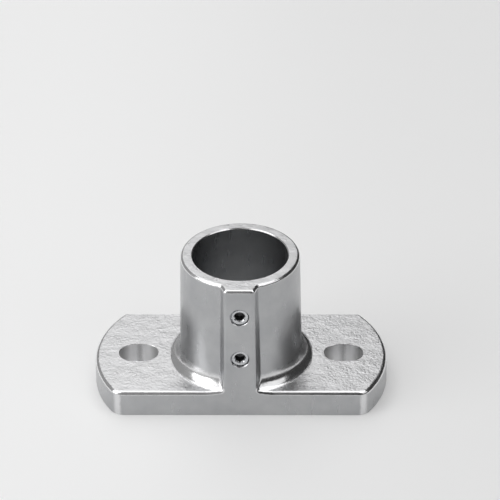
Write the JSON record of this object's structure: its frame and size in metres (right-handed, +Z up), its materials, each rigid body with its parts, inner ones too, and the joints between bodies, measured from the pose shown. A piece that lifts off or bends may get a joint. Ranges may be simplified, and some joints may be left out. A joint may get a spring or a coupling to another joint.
{
  "type": "tube clamp base flange",
  "caption": "Cast base flange for an upright tube: an oblong plate with bolt slots and a round collar whose socket set screws clamp the tube.",
  "frame": {"origin": "on the tube's axis, in the plane of the plate's underside", "axes": "+X along the plate from slot to slot, +Y from the set screws to the back, +Z up along the tube"},
  "size_m": [0.1538, 0.0718, 0.0762],
  "materials": {
    "casting": "bright tumbled aluminium casting, pebbled on the plate's top and smoother on the walls",
    "set_screws": "bright zinc-plated steel, dark inside the sockets"
  },
  "bodies": {
    "flange": {"flange_casting": "casting"},
    "upper_screw": {"upper_set_screw": "set_screws"},
    "lower_screw": {"lower_set_screw": "set_screws"}
  },
  "joints": [
    {"name": "upper_screw_travel", "type": "slide", "parent": "flange", "child": "upper_screw", "axis": [0, -1, 0], "range_m": [-0.001, 0.00635]},
    {"name": "lower_screw_travel", "type": "slide", "parent": "flange", "child": "lower_screw", "axis": [0, -1, 0], "range_m": [-0.001, 0.00635]}
  ]
}
